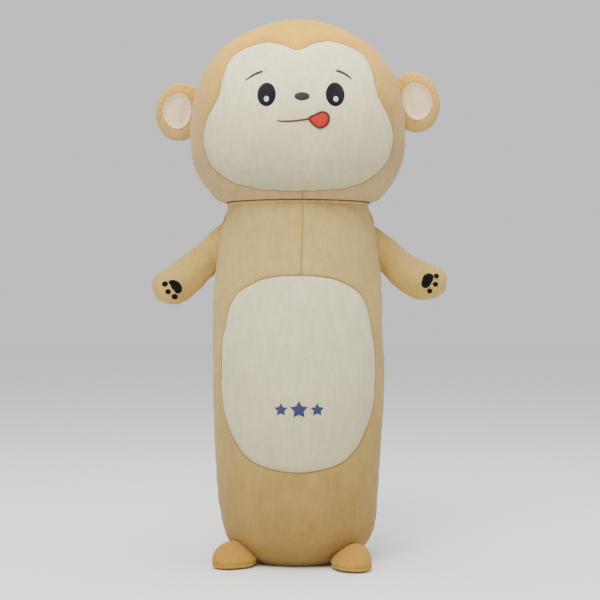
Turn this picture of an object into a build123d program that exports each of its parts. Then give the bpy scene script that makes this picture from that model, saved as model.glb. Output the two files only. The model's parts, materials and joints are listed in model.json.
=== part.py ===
"""Long plush monkey: head, tube body, two arms, two feet and two ears, all stuffed.

Millimetres, +Z up.  The toy stands on its base panel with the face towards -Y, and +X is
the viewer's right.  The origin is the middle of the base panel, on the floor.
"""
from build123d import *
from math import atan2, cos, degrees, hypot, pi, radians, sin, tan
import os

# Cloth and clearances
CLOTH = 2.5          # pile cloth, backing and pile together
FIT = 0.3            # cloth to filling
AIR = 0.4            # between pieces that move past each other
THREAD = 1.0         # height of raised embroidery
LIFT = 0.2           # under side of embroidery above the cloth
SEAM = 0.3           # open line of a sewn seam round an inset patch

# Head: widest at HEAD_WIDEST_Z, closing to HEAD_TOP_Z and HEAD_UNDER_Z
HEAD_HALF_WIDTH = 161.0
HEAD_TOP_Z = 800.0
HEAD_WIDEST_Z = 630.0
HEAD_UNDER_Z = 500.0
HEAD_FULLNESS = 2.4  # exponent along Z: 2 is an ellipse, more is squarer

# Body tube
BODY_HALF_WIDTH = 127.4
BODY_WIDEST_Z = 280.0
NECK_Z = 526.0
NECK_HALF_WIDTH = 105.0
BASE_HALF_WIDTH = 61.0
BODY_TAPER = 0.16    # share of the half width lost towards the base before the corner turns in

# Neck: concentric caps about one centre, so the head can tilt, turn and nod
NECK_CENTRE_Z = 450.0
TORSO_CAP = 128.5    # radius of the torso's domed top
NECK_LAYER = 1.6     # thickness of each neck layer
NECK_HEM_WIDTH = 34.0
NECK_STITCHES = 28
NECK_STITCH = 1.2    # thread diameter

# Arms, drawn for the side towards +X; the other is its mirror with its own droop
ARM_ROOT_Z = 460.0
ARM_ROOT_HALF = 35.0
ARM_LENGTH = 111.0
ARM_HALF_WIDTH = 24.5
HAND_HALF_WIDTH = 29.0
ARM_DROOP = {"left": 40.0, "right": 34.0}
ARM_LOWERED = 9.0    # degrees that the arm can be pushed down from rest
ARM_WALL_AIR = 2.5   # arm to torso when it is pushed down
ROOT_FLATTEN = 30.0  # half angle of the flattened root, degrees
PAD_AT = (79.5, -3.0)
PAD_SIZE = (9.0, 10.0)
TOE_AT = [(90.0, 10.5), (95.0, -1.5), (91.5, -14.0)]
TOE_SIZE = (3.6, 4.0)

# Feet
FOOT_RADIUS = 32.0   # round dome with a flat sole
FOOT_CENTRE = 18.0   # dome centre beyond the hinge
FOOT_AZIMUTH = {"left": 52.0, "right": 43.0}   # degrees from straight ahead
FOOT_BACK_SLOPE = 33.0
SEAM_AIR = 1.5       # hinge line of a foot or arm outside the torso cloth

# Ears
EAR_Z = {"left": 664.0, "right": 677.0}
EAR_RADIUS = 41.0
EAR_HALF_DEPTH = 10.0
EAR_CENTRE = 10.0    # ear centre beyond its root line
EAR_ROOT_HALF = 36.0
EAR_GAP = 5.0
EAR_FLATTEN = 25.0
EAR_INNER = (20.5, 26.5)
EAR_INNER_OUT = 6.0

# Face, as (x, z) on the head front
FACE_NOTCH = (0.0, 741.0)
FACE_SIDE = [
    (49.0, 756.0), (84.0, 747.0), (101.0, 729.0), (110.0, 705.0), (116.5, 676.0),
    (132.5, 649.0), (138.0, 627.0), (134.5, 601.0), (122.0, 576.0), (92.5, 554.0), (50.0, 543.5),
]
FACE_FOOT = (0.0, 540.0)
EYE_X = 47.5
EYE_Z = 676.0
EYE_SIZE = (14.3, 18.4)
GLINT_SHIFT = (1.0, -6.5)
GLINT_SIZE = (4.1, 4.8)
NOSE_AT = (5.7, 672.0)
NOSE_SIZE = (11.0, 6.5)
MOUTH_LEFT = (-29.0, 638.5)
MOUTH_RIGHT = (15.0, 639.5)
MOUTH_SAG = 2.0
MOUTH_WIDTH = 2.4
BROW = [(49.5, 712.0), (63.0, 709.0), (76.0, 702.5)]
BROW_WIDTH = (5.4, 3.4)
TONGUE = [
    (15.9, 638.3), (26.0, 645.5), (36.0, 651.0), (43.0, 643.5), (40.5, 632.5), (30.9, 627.3), (21.0, 630.5),
]
TONGUE_EDGE = 2.6

# Belly
BELLY_TOP = (0.0, 421.0)
BELLY_SIDE = [(62.0, 412.5), (94.0, 389.0), (113.5, 272.5), (97.0, 192.0), (54.0, 152.5)]
BELLY_FOOT = (0.0, 142.0)
CHEST_SEAM = 1.0     # width of the open line of the chest seam
BADGE_Z = 232.0
BADGE_STARS = [(-22.5, 8.5), (0.0, 11.5), (22.5, 8.5)]   # (x, outer radius)
STAR_WAIST = 0.46

# Hand-sewn closing in the centre back
CLOSING_Z = (250.0, 346.0)
CLOSING_STITCHES = 9
CLOSING_STITCH = (7.0, 1.4)

FAR = 400.0          # cutters reach past every piece
SIDES = ("left", "right")


# ---------------------------------------------------------------- shapes used by many pieces
def head_radius(z):
    reach = HEAD_TOP_Z - HEAD_WIDEST_Z if z > HEAD_WIDEST_Z else HEAD_WIDEST_Z - HEAD_UNDER_Z
    share = min(abs(z - HEAD_WIDEST_Z) / reach, 1.0)
    return HEAD_HALF_WIDTH * (1 - share ** HEAD_FULLNESS) ** 0.5


SHOULDER_SPAN = (NECK_Z - BODY_WIDEST_Z) / (1 - NECK_HALF_WIDTH / BODY_HALF_WIDTH) ** 0.25
BASE_CORNER = 1 - BODY_TAPER - BASE_HALF_WIDTH / BODY_HALF_WIDTH


def body_radius(z):
    if z < BODY_WIDEST_Z:
        share = (BODY_WIDEST_Z - z) / BODY_WIDEST_Z
        return BODY_HALF_WIDTH * (1 - BODY_TAPER * share ** 2 - BASE_CORNER * share ** 12)
    return BODY_HALF_WIDTH * (1 - ((z - BODY_WIDEST_Z) / SHOULDER_SPAN) ** 4)


def head_outline():
    """Half outline (radius, z) from under side to crown."""
    points = []
    for step in range(-6, 7):
        angle = radians(15 * step)
        reach = HEAD_TOP_Z - HEAD_WIDEST_Z if step > 0 else HEAD_WIDEST_Z - HEAD_UNDER_Z
        rise = reach * abs(sin(angle)) ** (2 / HEAD_FULLNESS)
        points.append((HEAD_HALF_WIDTH * cos(angle), HEAD_WIDEST_Z + (rise if step > 0 else -rise)))
    return points


def body_outline():
    """Half outline (radius, z) from the base edge to above the neck."""
    top = BODY_WIDEST_Z + SHOULDER_SPAN
    shares = [0, 0.03, 0.07, 0.12, 0.2, 0.3, 0.42, 0.52, 0.62, 0.7, 0.78, 0.84, 0.9]
    return [(body_radius(top * share), top * share) for share in shares]


def moved_in(points, inset):
    """The same outline moved square to itself, towards the axis."""
    moved = []
    for index, (radius, height) in enumerate(points):
        before = points[max(index - 1, 0)]
        after = points[min(index + 1, len(points) - 1)]
        along = (after[0] - before[0], after[1] - before[1])
        size = hypot(*along)
        moved.append((max(radius - inset * along[1] / size, 0.0), height + inset * along[0] / size))
    return moved


def on_pole_ball(point, pole):
    """Half way along the arc that is centred on the axis and joins a point to a pole."""
    radius, height = point
    ball = (radius ** 2 + (pole - height) ** 2) / (2 * (pole - height))
    half_angle = atan2(radius, abs(height - pole + ball)) / 2
    return abs(ball) * sin(half_angle), pole - ball + ball * cos(half_angle)


def half_section(points):
    """Flat face in XZ between a half outline of arcs and the axis; round where it meets the axis."""
    points = list(points)
    if points[0][0] < 0.01:
        points[1] = on_pole_ball(points[2], points[0][1])
    if points[-1][0] < 0.01:
        points[-2] = on_pole_ball(points[-3], points[-1][1])
    spots = [(radius, 0, height) for radius, height in points]
    edges = [ThreePointArc(*spots[start:start + 3]) for start in range(0, len(spots) - 2, 2)]
    low, high = spots[0], spots[-1]
    if high[0] > 0.01:
        edges.append(Line(high, (0, 0, high[2])))
    edges.append(Line((0, 0, high[2]), (0, 0, low[2])))
    if low[0] > 0.01:
        edges.append(Line((0, 0, low[2]), low))
    return make_face(Curve() + edges)


def head_section(inset):
    points = moved_in(head_outline(), inset)
    points[0] = (0.0, HEAD_UNDER_Z + inset)
    points[-1] = (0.0, HEAD_TOP_Z - inset)
    return half_section(points)


def body_section(inset):
    return half_section(moved_in(body_outline(), inset))


def cap_disc(radius):
    """Disc in XZ about the neck centre: turned about Z it is a ball."""
    return Plane.XZ * Pos(0, NECK_CENTRE_Z) * Circle(radius)


def flat(x_low, x_high, z_low, z_high):
    """Rectangle in XZ."""
    middle = ((x_low + x_high) / 2, (z_low + z_high) / 2)
    return Plane.XZ * Pos(*middle) * Rectangle(x_high - x_low, z_high - z_low)


def whole_turn(section):
    return revolve(section, Axis.Z)


def front_half(section):
    return Rot(0, 0, 180) * revolve(section, Axis.Z, 180)


def back_half(section):
    return revolve(section, Axis.Z, 180)


def back_quarter(section, side):
    quarter = revolve(section, Axis.Z, 90)
    return Rot(0, 0, 90) * quarter if side == "left" else quarter


def block(x_low, x_high, y_low, y_high, z_low, z_high):
    middle = ((x_low + x_high) / 2, (y_low + y_high) / 2, (z_low + z_high) / 2)
    return Pos(*middle) * Box(x_high - x_low, y_high - y_low, z_high - z_low)


def forward(outline):
    """A flat shape drawn in XZ, extruded towards the front through the whole toy."""
    return extrude(outline, FAR, dir=(0, -1, 0))


def oval(x, z, half_width, half_height, lean=0):
    return Plane.XZ * Pos(x, z) * Rot(0, 0, lean) * Ellipse(half_width, half_height)


def both_sides(first, side, last):
    """Points of an outline that is the same left and right of x = 0."""
    return [first] + side + [last] + [(-x, z) for x, z in reversed(side)]


def smooth_shape(points, inset=0.0):
    """A closed smooth outline through (x, z) points listed clockwise, moved in by inset."""
    spots = []
    for index, (x, z) in enumerate(points):
        before = points[index - 1]
        after = points[(index + 1) % len(points)]
        along = (after[0] - before[0], after[1] - before[1])
        size = hypot(*along)
        spots.append((x + inset * along[1] / size, 0, z - inset * along[0] / size))
    return make_face(Spline(*spots, periodic=True))


def wedge(half_angle, reach, half_height):
    """Prism with its edge on local Z, opening along +X."""
    spread = reach * tan(radians(half_angle))
    outline = Polyline((0, 0), (reach, spread), (reach, -spread), close=True)
    return Pos(0, 0, -half_height) * extrude(make_face(outline), 2 * half_height)


def to_side(piece, side):
    return mirror(piece, about=Plane.YZ) if side == "left" else piece


def save(piece, node):
    """Write one node; a group of separate solids stays one file."""
    solids = piece.solids()
    export_step(solids[0] if len(solids) == 1 else Compound(children=list(solids)), f"parts/{node}.step")


FRONT = block(-FAR, FAR, -FAR, 0, -FAR, 3 * FAR)
BACK = block(-FAR, FAR, 0, FAR, -FAR, 3 * FAR)

# Radii of the concentric neck surfaces, torso outwards
NECK_FILL_IN = TORSO_CAP + AIR
NECK_FILL_OUT = NECK_FILL_IN + NECK_LAYER
NECK_HEM_IN = NECK_FILL_OUT + AIR
NECK_HEM_OUT = NECK_HEM_IN + NECK_LAYER
HEAD_CUP = NECK_HEM_OUT + AIR


# ---------------------------------------------------------------- head
def thread_layer(section, level=0):
    """Thin front shell lying on the cloth; level 1 lies on top of level 0."""
    low = LIFT + level * (THREAD + LIFT)
    return front_half(section(-low - THREAD) - section(-low))


def head_pieces():
    cloth = head_section(0) - head_section(CLOTH) - cap_disc(HEAD_CUP)
    outline = both_sides(FACE_NOTCH, FACE_SIDE, FACE_FOOT)
    front = front_half(cloth)
    save(front & forward(smooth_shape(outline, SEAM)), "face_patch")
    save(front - forward(smooth_shape(outline)), "head_front")
    for side in SIDES:
        save(back_quarter(cloth, side), f"head_back_{side}")
    save(whole_turn(head_section(CLOTH + FIT) - cap_disc(HEAD_CUP + CLOTH)), "head_fill")


def band(points, widths):
    """A line of thread: a smooth path given a width that runs from the first to the last value."""
    upper, lower = [], []
    for index, (x, z) in enumerate(points):
        before = points[max(index - 1, 0)]
        after = points[min(index + 1, len(points) - 1)]
        along = (after[0] - before[0], after[1] - before[1])
        size = hypot(*along)
        share = index / (len(points) - 1)
        half = (widths[0] + (widths[1] - widths[0]) * share) / 2
        upper.append((x - half * along[1] / size, 0, z + half * along[0] / size))
        lower.append((x + half * along[1] / size, 0, z - half * along[0] / size))
    edges = [Spline(*upper), Line(upper[-1], lower[-1]), Spline(*lower), Line(lower[0], upper[0])]
    return make_face(Curve() + edges)


def face_embroidery():
    thread = thread_layer(head_section)
    top_thread = thread_layer(head_section, 1)
    for side, sign in (("left", -1), ("right", 1)):
        x = sign * EYE_X
        eye = oval(x, EYE_Z, *EYE_SIZE)
        glint = oval(x + GLINT_SHIFT[0], EYE_Z + GLINT_SHIFT[1], *GLINT_SIZE)
        brow = band([(sign * px, pz) for px, pz in BROW], BROW_WIDTH)
        save(thread & forward(eye), f"eye_{side}")
        save(top_thread & forward(glint), f"eye_glint_{side}")
        save(thread & forward(brow), f"brow_{side}")
    save(thread & forward(oval(*NOSE_AT, *NOSE_SIZE)), "nose")
    middle = ((MOUTH_LEFT[0] + MOUTH_RIGHT[0]) / 2, (MOUTH_LEFT[1] + MOUTH_RIGHT[1]) / 2 - MOUTH_SAG)
    line = band([MOUTH_LEFT, middle, (MOUTH_RIGHT[0] - TONGUE_EDGE, MOUTH_RIGHT[1])], (MOUTH_WIDTH,) * 2)
    save(thread & forward(line), "mouth_line")
    outline = forward(smooth_shape(TONGUE)) - forward(smooth_shape(TONGUE, TONGUE_EDGE))
    save(thread & forward(smooth_shape(TONGUE, TONGUE_EDGE + LIFT)), "tongue")
    save(thread & outline, "tongue_outline")


# ---------------------------------------------------------------- ears
def ear_frame(side):
    """Middle of the ear's root line and its lean, on the +X side."""
    low = head_radius(EAR_Z[side] - EAR_ROOT_HALF)
    high = head_radius(EAR_Z[side] + EAR_ROOT_HALF)
    lean = degrees(atan2(low - high, 2 * EAR_ROOT_HALF))
    return (low + high) / 2 + EAR_GAP, lean


def ear_pieces(side):
    root_x, lean = ear_frame(side)
    place = Pos(root_x, 0, EAR_Z[side]) * Rot(0, -lean, 0)

    def pillow(inset):
        """Round pad with a rolled rim, lying in XZ."""
        radius, half_depth = EAR_RADIUS - inset, EAR_HALF_DEPTH - inset
        rim = EAR_RADIUS - EAR_HALF_DEPTH
        bend = half_depth * cos(radians(45))
        edges = [
            Line((0, -half_depth), (rim, -half_depth)),
            ThreePointArc((rim, -half_depth), (rim + bend, -bend), (radius, 0)),
            ThreePointArc((radius, 0), (rim + bend, bend), (rim, half_depth)),
            Line((rim, half_depth), (0, half_depth)),
            Line((0, half_depth), (0, -half_depth)),
        ]
        return Pos(EAR_CENTRE, 0, 0) * revolve(make_face(Curve() + edges), Axis.Y)

    reach = EAR_CENTRE + EAR_RADIUS + CLOTH
    room = wedge(EAR_FLATTEN, reach, reach)
    inner = forward(oval(EAR_CENTRE + EAR_INNER_OUT, 0, *EAR_INNER))
    cloth = (pillow(0) - pillow(CLOTH)) & room
    filling = pillow(CLOTH + FIT) & Pos(CLOTH, 0, 0) * room
    nodes = {
        "ear_front": (cloth & FRONT) - inner,
        "ear_inner": cloth & FRONT & inner,
        "ear_back": cloth & BACK,
        "ear_fill": filling,
    }
    for name, piece in nodes.items():
        save(to_side(place * piece, side), f"{name}_{side}")


# ---------------------------------------------------------------- body and neck
def above_cap(radius):
    """Section of everything at neck height and above outside a cap of this radius."""
    start = NECK_CENTRE_Z + radius * 0.35
    return flat(0, FAR, start, start + FAR) - cap_disc(radius)


def star(x, z, radius):
    points = []
    for step in range(10):
        angle = radians(90 + 36 * step)
        reach = radius if step % 2 == 0 else radius * STAR_WAIST
        points.append((x + reach * cos(angle), 0, z + reach * sin(angle)))
    return make_face(Polyline(*points, close=True))


def body_pieces():
    base = flat(0, FAR, -FAR, CLOTH)
    cloth = body_section(0) - body_section(CLOTH) - base - above_cap(TORSO_CAP)
    outline = both_sides(BELLY_TOP, BELLY_SIDE, BELLY_FOOT)
    seam = block(-CHEST_SEAM / 2, CHEST_SEAM / 2, -FAR, 0, BELLY_TOP[1] - CLOTH, NECK_CENTRE_Z + TORSO_CAP)
    front = front_half(cloth)
    save(front - forward(smooth_shape(outline)) - seam, "body_front")
    save(front & forward(smooth_shape(outline, SEAM)), "belly_patch")
    for side in SIDES:
        save(back_quarter(cloth, side), f"body_back_{side}")
    save(whole_turn(body_section(0) & base), "base_panel")
    under = flat(0, FAR, -FAR, CLOTH + FIT)
    save(whole_turn(body_section(CLOTH + FIT) - under - above_cap(TORSO_CAP - FIT)), "body_fill")
    thread = thread_layer(body_section)
    stars = [(thread & forward(star(x, BADGE_Z, radius))).solids()[0] for x, radius in BADGE_STARS]
    save(Compound(children=stars), "belly_badge")


def closing_stitches():
    """Ladder stitches across the centre back seam."""
    thread = back_half(body_section(-LIFT - THREAD) - body_section(-LIFT))
    half = (CLOSING_STITCH[0] / 2, CLOSING_STITCH[1] / 2)
    pitch = (CLOSING_Z[1] - CLOSING_Z[0]) / (CLOSING_STITCHES - 1)
    stitches = []
    for index in range(CLOSING_STITCHES):
        z = CLOSING_Z[0] + index * pitch
        bar = block(-half[0], half[0], 0, FAR, z - half[1], z + half[1])
        stitches.append((thread & bar).solids()[0])
    save(Compound(children=stitches), "closing_stitches")


def neck_layer(inner, outer, inset):
    ring = cap_disc(outer) - cap_disc(inner)
    return ring & body_section(inset) & flat(0, FAR, NECK_CENTRE_Z + 0.35 * inner, HEAD_TOP_Z)


def neck_rim(azimuth, radius):
    """The point of the neck crease at this azimuth, on the cap of this radius."""
    low, high = NECK_CENTRE_Z, NECK_CENTRE_Z + radius
    for _ in range(40):
        z = (low + high) / 2
        if hypot(body_radius(z), z - NECK_CENTRE_Z) < radius:
            low = z
        else:
            high = z
    return body_radius(z) * cos(azimuth), body_radius(z) * sin(azimuth), z


def neck_pieces():
    save(whole_turn(neck_layer(NECK_FILL_IN, NECK_FILL_OUT, CLOTH)), "neck_fill")
    hem = neck_layer(NECK_HEM_IN, NECK_HEM_OUT, CLOTH)
    save(whole_turn(hem - flat(0, NECK_HALF_WIDTH - NECK_HEM_WIDTH, 0, HEAD_TOP_Z)), "neck_hem")
    middle = (NECK_HEM_IN + NECK_HEM_OUT) / 2
    stitches = []
    for index in range(NECK_STITCHES):
        point = neck_rim(2 * pi * index / NECK_STITCHES, middle)
        outward = Vector(point[0], point[1], point[2] - NECK_CENTRE_Z)
        bar = Plane(origin=point, z_dir=outward) * Cylinder(NECK_STITCH / 2, NECK_LAYER)
        stitches.append(bar.solids()[0])
    save(Compound(children=stitches), "neck_stitches")


# ---------------------------------------------------------------- arms
ARM_ROOT_X = body_radius(ARM_ROOT_Z - ARM_ROOT_HALF) + SEAM_AIR


def arm_section(inset):
    """Half section of the arm along +X, before it droops: a cone with a round hand."""
    palm = ARM_LENGTH - HAND_HALF_WIDTH
    hand = HAND_HALF_WIDTH - inset
    root = ARM_HALF_WIDTH - inset
    bend = hand * cos(radians(45))
    edges = [
        Line((0, 0, 0), (0, 0, root)),
        Line((0, 0, root), (palm, 0, hand)),
        ThreePointArc((palm, 0, hand), (palm + bend, 0, bend), (palm + hand, 0, 0)),
        Line((palm + hand, 0, 0), (0, 0, 0)),
    ]
    return make_face(Curve() + edges)


def arm_pieces(side):
    place = Pos(ARM_ROOT_X, 0, ARM_ROOT_Z)
    droop = place * Rot(0, ARM_DROOP[side], 0)
    reach = ARM_LENGTH + HAND_HALF_WIDTH
    clear_of_torso = place * Rot(0, -ARM_LOWERED, 0) * block(ARM_WALL_AIR, FAR, -FAR, FAR, -FAR, FAR)
    room = place * wedge(ROOT_FLATTEN, reach, reach)
    inner_room = place * Pos(2 * CLOTH, 0, 0) * wedge(ROOT_FLATTEN, reach, reach) & clear_of_torso
    ball = Plane.XZ * Circle(ARM_ROOT_HALF)
    wide_ball = Plane.XZ * Circle(ARM_ROOT_HALF + CLOTH)
    skin = revolve(arm_section(0) - arm_section(CLOTH) - ball, Axis.X)
    cloth = (droop * skin) & room & clear_of_torso
    filling = (droop * revolve(arm_section(CLOTH + FIT) - wide_ball, Axis.X)) & inner_room
    thread = revolve(arm_section(-LIFT - THREAD) - arm_section(-LIFT) - ball, Axis.X)

    def on_palm(outlines):
        prints = [(droop * (thread & forward(outline))).solids()[0] for outline in outlines]
        return Compound(children=prints)

    outside = block(ARM_ROOT_X + SEAM_AIR, FAR, -FAR, FAR, 0, HEAD_TOP_Z)
    nodes = {
        "arm_front": cloth & FRONT,
        "arm_back": cloth & BACK,
        "arm_fill": filling,
        "shoulder_fill": place * Sphere(ARM_ROOT_HALF - AIR) & room & outside,
        "paw_pad": on_palm([oval(*PAD_AT, *PAD_SIZE)]),
        "paw_toes": on_palm([oval(*point, *TOE_SIZE) for point in TOE_AT]),
    }
    for name, piece in nodes.items():
        save(to_side(piece, side), f"{name}_{side}")


# ---------------------------------------------------------------- feet
def foot_hinge(side):
    """Middle of the foot's hinge line, on the +X side."""
    angle = radians(FOOT_AZIMUTH[side])
    reach = body_radius(FOOT_RADIUS) + 2 * SEAM_AIR
    return reach * sin(angle), -reach * cos(angle)


def foot_solid(inset):
    """Dome with its sole at local z = 0 and pointing along +X, before the back is cut away."""
    return Pos(FOOT_CENTRE, 0, 0) * Sphere(FOOT_RADIUS - inset)


def foot_pieces(side):
    x, y = foot_hinge(side)
    place = Pos(x, y, 0) * Rot(0, 0, FOOT_AZIMUTH[side] - 90)
    ankle = Pos(0, 0, FOOT_RADIUS) * Rot(0, FOOT_BACK_SLOPE, 0)
    dome = foot_solid(0) & (ankle * block(0, FAR, -FAR, FAR, -FAR, FAR))
    inner = foot_solid(CLOTH + FIT) & (ankle * block(CLOTH + FIT, FAR, -FAR, FAR, -FAR, FAR))
    nodes = {
        "foot_upper": (dome & block(-FAR, FAR, -FAR, FAR, CLOTH, FAR)) - foot_solid(CLOTH),
        "foot_sole": dome & block(-FAR, FAR, -FAR, FAR, 0, CLOTH),
        "foot_fill": inner & block(-FAR, FAR, -FAR, FAR, CLOTH + FIT, FAR),
    }
    for name, piece in nodes.items():
        save(to_side(place * piece, side), f"{name}_{side}")


def main():
    os.makedirs("parts", exist_ok=True)
    head_pieces()
    face_embroidery()
    body_pieces()
    closing_stitches()
    neck_pieces()
    for side in SIDES:
        ear_pieces(side)
        arm_pieces(side)
        foot_pieces(side)


main()
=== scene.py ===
"""Looks of the long plush monkey: stuffed cloth skins, embroidery, materials, light and camera."""
import bpy
import functools
import json
import math
import numpy as np
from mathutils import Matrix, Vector


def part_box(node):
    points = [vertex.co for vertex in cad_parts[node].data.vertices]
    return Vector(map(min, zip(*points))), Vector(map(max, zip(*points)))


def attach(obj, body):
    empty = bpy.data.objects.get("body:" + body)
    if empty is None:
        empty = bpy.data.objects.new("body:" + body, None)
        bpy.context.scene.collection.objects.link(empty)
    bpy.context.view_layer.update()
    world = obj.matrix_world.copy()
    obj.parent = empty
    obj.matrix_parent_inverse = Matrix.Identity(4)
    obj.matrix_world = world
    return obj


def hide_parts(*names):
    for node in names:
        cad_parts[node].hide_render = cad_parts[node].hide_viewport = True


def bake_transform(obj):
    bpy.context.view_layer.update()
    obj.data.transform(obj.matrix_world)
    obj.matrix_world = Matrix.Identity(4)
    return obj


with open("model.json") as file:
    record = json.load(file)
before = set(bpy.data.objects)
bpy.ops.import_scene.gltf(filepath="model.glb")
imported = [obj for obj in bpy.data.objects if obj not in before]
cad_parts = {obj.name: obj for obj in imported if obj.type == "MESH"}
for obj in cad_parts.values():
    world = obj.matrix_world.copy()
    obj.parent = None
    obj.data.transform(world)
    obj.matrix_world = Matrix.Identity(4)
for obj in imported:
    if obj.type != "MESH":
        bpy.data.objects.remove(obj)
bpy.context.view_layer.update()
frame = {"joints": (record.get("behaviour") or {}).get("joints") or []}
JOINTS = {joint["name"]: joint for joint in frame["joints"]}
SIDES = {"left": -1, "right": 1}

# ---------------------------------------------------------------- shape of the stuffed forms, metres
HEAD_R, HEAD_TOP, HEAD_MID, HEAD_LOW, HEAD_POWER = 0.1605, 0.7995, 0.630, 0.500, 2.4
BODY_R, BODY_MID, NECK_Z, NECK_R = 0.1268, 0.280, 0.526, 0.1045
BASE_R, BODY_TAPER = 0.068, 0.16
NECK_CENTRE = Vector(JOINTS["head_nod"]["pos_m"])
TORSO_CAP, HEAD_CUP = 0.1290, 0.1328
SPAN = (NECK_Z - BODY_MID) / (1 - NECK_R / BODY_R) ** 0.25
CORNER = 1 - BODY_TAPER - BASE_R / BODY_R
PATCH_SINK = 0.004

FACE = [
    (0.0, .7415), (.024, .752), (.049, .7565), (.084, .747), (.101, .729), (.1095, .705), (.1165, .676),
    (.1320, .649), (.1385, .627), (.1360, .601), (.1235, .576), (.0935, .5535), (.050, .5415), (0.0, .5380),
]
BELLY = [
    (0.0, .421), (.032, .4195), (.062, .412), (.094, .389), (.110, .335), (.1135, .272), (.109, .225),
    (.097, .192), (.079, .166), (.052, .150), (0.0, .142),
]


def head_radius(z):
    reach = np.where(z > HEAD_MID, HEAD_TOP - HEAD_MID, HEAD_MID - HEAD_LOW)
    share = np.clip(np.abs(z - HEAD_MID) / reach, 0, 1)
    return HEAD_R * np.sqrt(np.clip(1 - share ** HEAD_POWER, 0, 1))


def body_radius(z):
    share = np.clip((BODY_MID - z) / BODY_MID, 0, 1)
    low = BODY_R * (1 - BODY_TAPER * share ** 2 - CORNER * share ** 14)
    high = BODY_R * (1 - np.clip((z - BODY_MID) / SPAN, 0, 1) ** 4)
    return np.where(z < BODY_MID, low, high)


def ripple(points, size, seed, count=9):
    """Smooth repeatable bumps between about -1 and 1, of this size in metres."""
    rng = np.random.RandomState(seed)
    total = np.zeros(len(points))
    for _ in range(count):
        direction = rng.normal(size=3)
        direction /= np.linalg.norm(direction)
        waves = 2 * math.pi / (size * rng.uniform(0.7, 1.5))
        total += np.sin(points @ direction * waves + rng.uniform(0, 6.28))
    return total / math.sqrt(count)


def rounded_loop(half_points, count):
    """Closed smooth outline from its right half, listed from top to bottom, as (count, 2)."""
    left = [(-x, z) for x, z in reversed(half_points[1:-1])]
    return smooth_loop(list(half_points) + left, count)


def smooth_loop(points, count):
    """Periodic Catmull-Rom curve through the points, evenly spaced."""
    p = np.array(points, float)
    n = len(p)
    fine = []
    for i in range(n):
        a, b, c, d = p[i - 1], p[i], p[(i + 1) % n], p[(i + 2) % n]
        for t in np.linspace(0, 1, 24, endpoint=False):
            fine.append(0.5 * (2 * b + (c - a) * t + (2 * a - 5 * b + 4 * c - d) * t * t
                               + (3 * b - a - 3 * c + d) * t ** 3))
    fine = np.array(fine + [fine[0]])
    lengths = np.r_[0, np.cumsum(np.linalg.norm(np.diff(fine, axis=0), axis=1))]
    at = np.linspace(0, lengths[-1], count, endpoint=False)
    return np.c_[np.interp(at, lengths, fine[:, 0]), np.interp(at, lengths, fine[:, 1])]


def loop_distance(points_xz, loop):
    """Distance from each point to a closed loop, and whether it lies inside."""
    a, b = loop, np.roll(loop, -1, axis=0)
    best = np.full(len(points_xz), 9.0)
    inside = np.zeros(len(points_xz), bool)
    x, z = points_xz[:, 0], points_xz[:, 1]
    for p, q in zip(a, b):
        d = q - p
        t = np.clip(((points_xz - p) @ d) / (d @ d + 1e-12), 0, 1)
        best = np.minimum(best, np.linalg.norm(points_xz - (p + t[:, None] * d), axis=1))
        crosses = (p[1] > z) != (q[1] > z)
        if q[1] != p[1]:
            inside ^= crosses & (x < p[0] + (z - p[1]) * d[0] / d[1])
    return best, inside


FACE_LOOP = rounded_loop(FACE, 420)
FACE_LOOP[:, 1] += 0.020 * FACE_LOOP[:, 0] * np.clip((FACE_LOOP[:, 1] - 0.66) / 0.06, 0, 1)
BELLY_LOOP = rounded_loop(BELLY, 420)


def groove(distance, depth, width):
    return -depth * np.exp(-(distance / width) ** 2)


def puckers(points, distance, height, reach, size, seed):
    """Small gathers that run along a seam and fade away from it."""
    return height * np.exp(-(distance / reach) ** 2) * ripple(points, size, seed, 7)


# ---------------------------------------------------------------- meshes
def make_mesh(name, points, faces, material, slot):
    mesh = bpy.data.meshes.new(name)
    mesh.from_pydata([tuple(p) for p in points], [], faces)
    mesh.validate()
    piece = bpy.data.objects.new(name, mesh)
    bpy.context.scene.collection.objects.link(piece)
    mesh.materials.append(material)
    for polygon in mesh.polygons:
        polygon.use_smooth = True
    return piece


def grid_faces(rows, columns, closed=True):
    faces = []
    for r in range(rows - 1):
        for c in range(columns if closed else columns - 1):
            d = (c + 1) % columns
            faces.append((r * columns + c, r * columns + d, (r + 1) * columns + d, (r + 1) * columns + c))
    return faces


def grid_normals(grid):
    """Outward normals of a (rows, columns, 3) grid closed along its columns."""
    across = np.roll(grid, -1, axis=1) - np.roll(grid, 1, axis=1)
    along = np.gradient(grid, axis=0)
    normals = np.cross(across, along)
    size = np.linalg.norm(normals, axis=2, keepdims=True)
    return normals / np.maximum(size, 1e-12)


def keep_faces(points, faces, wanted):
    """The faces whose middle passes the test, with only the points they use."""
    points = np.asarray(points)
    middles = np.array([points[list(face)].mean(axis=0) for face in faces])
    kept = [face for face, good in zip(faces, wanted(middles)) if good]
    used = sorted({index for face in kept for index in face})
    place = {old: new for new, old in enumerate(used)}
    return points[used], [tuple(place[index] for index in face) for face in kept]


def turned_grid(profile, columns):
    """(rows, columns, 3) grid from a list of (radius, z)."""
    angle = np.linspace(0, 2 * math.pi, columns, endpoint=False)
    radius = np.array([p[0] for p in profile])[:, None]
    height = np.array([p[1] for p in profile])[:, None]
    return np.stack([radius * np.cos(angle), radius * np.sin(angle), height + 0 * angle], axis=2)


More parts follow.
